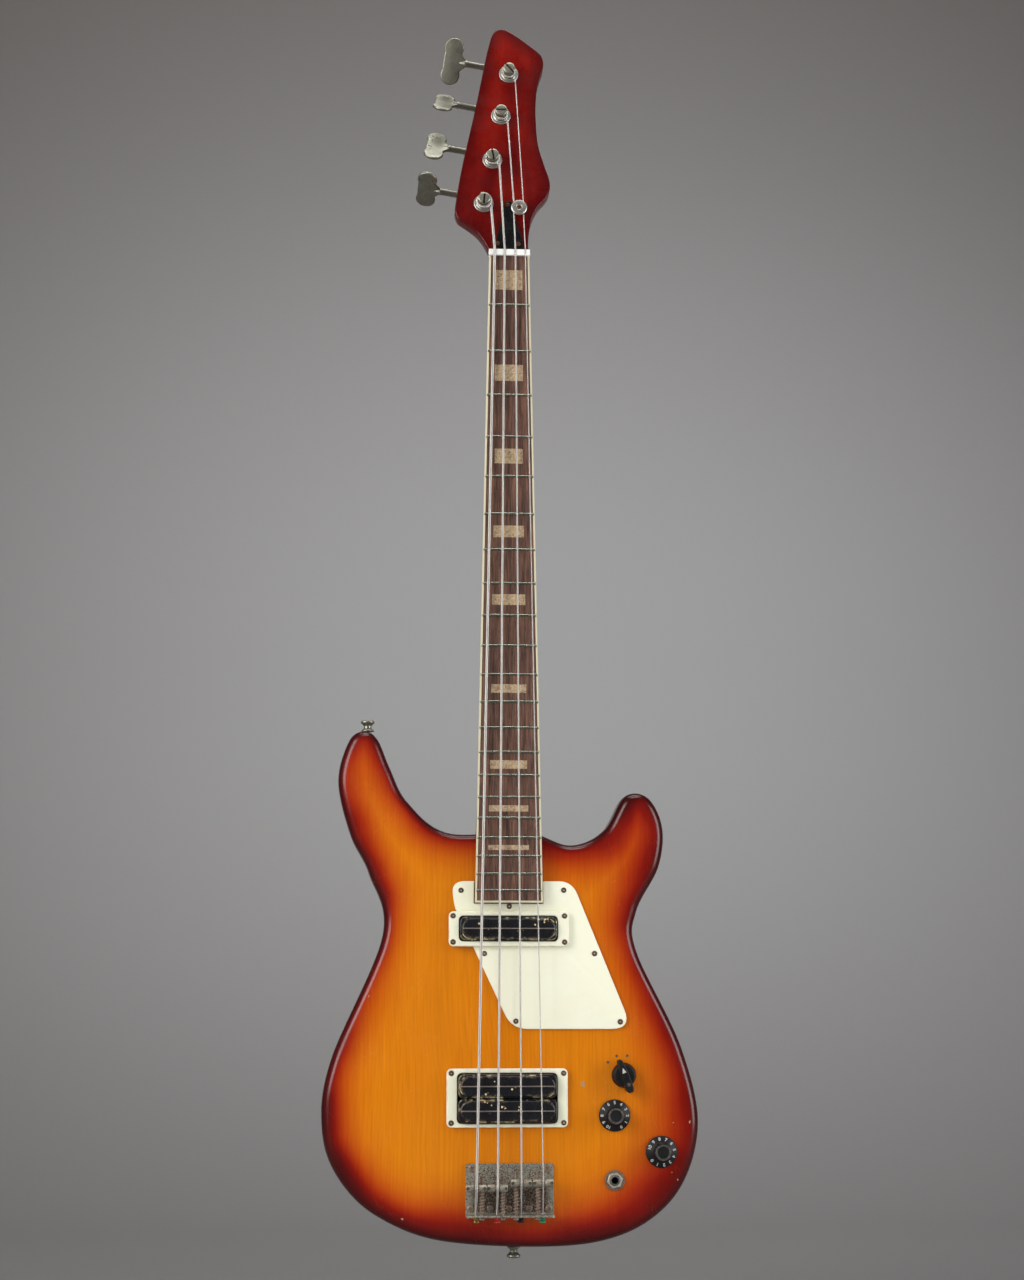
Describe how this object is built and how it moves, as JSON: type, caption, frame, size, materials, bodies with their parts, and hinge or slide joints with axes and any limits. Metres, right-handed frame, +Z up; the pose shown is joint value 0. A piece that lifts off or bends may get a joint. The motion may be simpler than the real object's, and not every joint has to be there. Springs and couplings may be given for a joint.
{
  "type": "electric bass guitar",
  "caption": "Solid-body electric bass guitar with a long bolted neck, side-mounted worm tuners, barrel saddles, a slanted pickguard, pickups and turning controls.",
  "frame": {"origin": "on the neck's centre line at the nut's fretboard side, level with the top of the fretboard", "axes": "+Z up the neck from the body to the headstock, +Y from the strings through the body to its back, +X to the right seen from the front"},
  "size_m": [0.3446, 0.0724, 1.185],
  "materials": {
    "sunburst_lacquer": "gloss lacquer, amber centre running to a dark red rim",
    "red_lacquer": "gloss lacquer over red stain",
    "rosewood": "open-pored oiled wood with nickel frets and pearl blocks",
    "binding_plastic": "yellowed cream",
    "nut_plastic": "white, satin",
    "cream_plastic": "aged cream with brown edges",
    "black_plastic": "gloss black, worn",
    "aged_nickel": "dulled nickel plate with grey-green haze",
    "rusty_steel": "brown rust over worn plate",
    "string_steel": "wound steel, slightly tarnished",
    "tinned_steel": "tinned, dull"
  },
  "bodies": {
    "guitar": {"body": "sunburst_lacquer", "neck": "red_lacquer", "fretboard": "rosewood", "binding": "binding_plastic", "nut": "nut_plastic", "pickguard": "cream_plastic", "neck_pickup_surround": "cream_plastic", "bridge_pickup_surround": "cream_plastic", "truss_rod_cover": "black_plastic", "control_cover": "black_plastic", "neck_pickup": "black_plastic", "bridge_pickup_upper_coil": "black_plastic", "bridge_pickup_lower_coil": "black_plastic", "string_tree": "aged_nickel", "bridge_plate": "aged_nickel", "jack_nut": "aged_nickel", "neck_plate": "aged_nickel", "strap_button_horn": "aged_nickel", "strap_button_tail": "aged_nickel", "tuner_plate_e": "aged_nickel", "tuner_plate_a": "aged_nickel", "tuner_plate_d": "aged_nickel", "tuner_plate_g": "aged_nickel", "tuner_ferrule_e": "aged_nickel", "tuner_ferrule_a": "aged_nickel", "tuner_ferrule_d": "aged_nickel", "tuner_ferrule_g": "aged_nickel", "spring_e": "rusty_steel", "spring_a": "rusty_steel", "spring_d": "rusty_steel", "spring_g": "rusty_steel", "string_e": "string_steel", "string_a": "string_steel", "string_d": "string_steel", "string_g": "string_steel", "truss_rod": "tinned_steel", "volume_pot": "tinned_steel", "tone_pot": "tinned_steel", "rotary_switch": "tinned_steel", "jack_socket": "tinned_steel"},
    "post_e": {"tuner_post_e": "aged_nickel"},
    "key_e": {"tuner_key_e": "aged_nickel"},
    "carriage_e": {"saddle_e": "aged_nickel"},
    "screw_e": {"intonation_screw_e": "rusty_steel"},
    "post_a": {"tuner_post_a": "aged_nickel"},
    "key_a": {"tuner_key_a": "aged_nickel"},
    "carriage_a": {"saddle_a": "aged_nickel"},
    "screw_a": {"intonation_screw_a": "rusty_steel"},
    "post_d": {"tuner_post_d": "aged_nickel"},
    "key_d": {"tuner_key_d": "aged_nickel"},
    "carriage_d": {"saddle_d": "aged_nickel"},
    "screw_d": {"intonation_screw_d": "rusty_steel"},
    "post_g": {"tuner_post_g": "aged_nickel"},
    "key_g": {"tuner_key_g": "aged_nickel"},
    "carriage_g": {"saddle_g": "aged_nickel"},
    "screw_g": {"intonation_screw_g": "rusty_steel"},
    "volume": {"volume_knob": "black_plastic"},
    "tone": {"tone_knob": "black_plastic"},
    "selector": {"switch_knob": "black_plastic"}
  },
  "joints": [
    {"name": "key_turn_e", "type": "hinge", "parent": "guitar", "child": "key_e", "pos_m": [-0.02171, 0.03349, 0.06816], "axis": [-0.9848, 0.0212, 0.1723], "continuous": true},
    {"name": "post_turn_e", "type": "hinge", "parent": "guitar", "child": "post_e", "pos_m": [-0.0243, 0.01106, 0.05613], "axis": [0, -0.9925, 0.1219], "continuous": true},
    {"name": "key_turn_a", "type": "hinge", "parent": "guitar", "child": "key_a", "pos_m": [-0.01311, 0.03919, 0.11461], "axis": [-0.9848, 0.0212, 0.1723], "continuous": true},
    {"name": "post_turn_a", "type": "hinge", "parent": "guitar", "child": "post_a", "pos_m": [-0.0157, 0.01676, 0.10258], "axis": [0, -0.9925, 0.1219], "continuous": true},
    {"name": "key_turn_d", "type": "hinge", "parent": "guitar", "child": "key_d", "pos_m": [-0.00461, 0.04504, 0.16225], "axis": [-0.9848, 0.0212, 0.1723], "continuous": true},
    {"name": "post_turn_d", "type": "hinge", "parent": "guitar", "child": "post_d", "pos_m": [-0.0072, 0.02261, 0.15022], "axis": [0, -0.9925, 0.1219], "continuous": true},
    {"name": "key_turn_g", "type": "hinge", "parent": "guitar", "child": "key_g", "pos_m": [0.00349, 0.05066, 0.20801], "axis": [-0.9848, 0.0212, 0.1723], "continuous": true},
    {"name": "post_turn_g", "type": "hinge", "parent": "guitar", "child": "post_g", "pos_m": [0.0009, 0.02823, 0.19598], "axis": [0, -0.9925, 0.1219], "continuous": true},
    {"name": "screw_turn_e", "type": "hinge", "parent": "guitar", "child": "screw_e", "pos_m": [-0.0248, -0.0027, -0.9003], "axis": [0, 0, -1], "range_deg": [0, 4320]},
    {"name": "saddle_slide_e", "type": "slide", "parent": "guitar", "child": "carriage_e", "axis": [0, 0, 1], "range_m": [0, 0.006], "deforming": ["spring_e"]},
    {"name": "screw_turn_a", "type": "hinge", "parent": "guitar", "child": "screw_a", "pos_m": [-0.0057, -0.0027, -0.9003], "axis": [0, 0, -1], "range_deg": [0, 4320]},
    {"name": "saddle_slide_a", "type": "slide", "parent": "guitar", "child": "carriage_a", "axis": [0, 0, 1], "range_m": [0, 0.006], "deforming": ["spring_a"]},
    {"name": "screw_turn_d", "type": "hinge", "parent": "guitar", "child": "screw_d", "pos_m": [0.006, -0.0027, -0.9003], "axis": [0, 0, -1], "range_deg": [0, 4320]},
    {"name": "saddle_slide_d", "type": "slide", "parent": "guitar", "child": "carriage_d", "axis": [0, 0, 1], "range_m": [0, 0.006], "deforming": ["spring_d"]},
    {"name": "screw_turn_g", "type": "hinge", "parent": "guitar", "child": "screw_g", "pos_m": [0.0257, -0.0027, -0.9003], "axis": [0, 0, -1], "range_deg": [0, 4320]},
    {"name": "saddle_slide_g", "type": "slide", "parent": "guitar", "child": "carriage_g", "axis": [0, 0, 1], "range_m": [0, 0.006], "deforming": ["spring_g"]},
    {"name": "volume_turn", "type": "hinge", "parent": "guitar", "child": "volume", "pos_m": [0.0972, 0.012, -0.8109], "axis": [0, -1, 0], "range_deg": [-150, 150]},
    {"name": "tone_turn", "type": "hinge", "parent": "guitar", "child": "tone", "pos_m": [0.14, 0.012, -0.8435], "axis": [0, -1, 0], "range_deg": [-75, 225]},
    {"name": "selector_turn", "type": "hinge", "parent": "guitar", "child": "selector", "pos_m": [0.106, 0.012, -0.7747], "axis": [0, -1, 0], "range_deg": [-30, 30]}
  ],
  "couplings": [
    {"joint": "post_turn_e", "follows": "key_turn_e", "ratio": -0.055556},
    {"joint": "post_turn_a", "follows": "key_turn_a", "ratio": -0.055556},
    {"joint": "post_turn_d", "follows": "key_turn_d", "ratio": -0.055556},
    {"joint": "post_turn_g", "follows": "key_turn_g", "ratio": -0.055556},
    {"joint": "screw_turn_e", "follows": "saddle_slide_e", "rad_per_m": 12566},
    {"joint": "screw_turn_a", "follows": "saddle_slide_a", "rad_per_m": 12566},
    {"joint": "screw_turn_d", "follows": "saddle_slide_d", "rad_per_m": 12566},
    {"joint": "screw_turn_g", "follows": "saddle_slide_g", "rad_per_m": 12566}
  ]
}
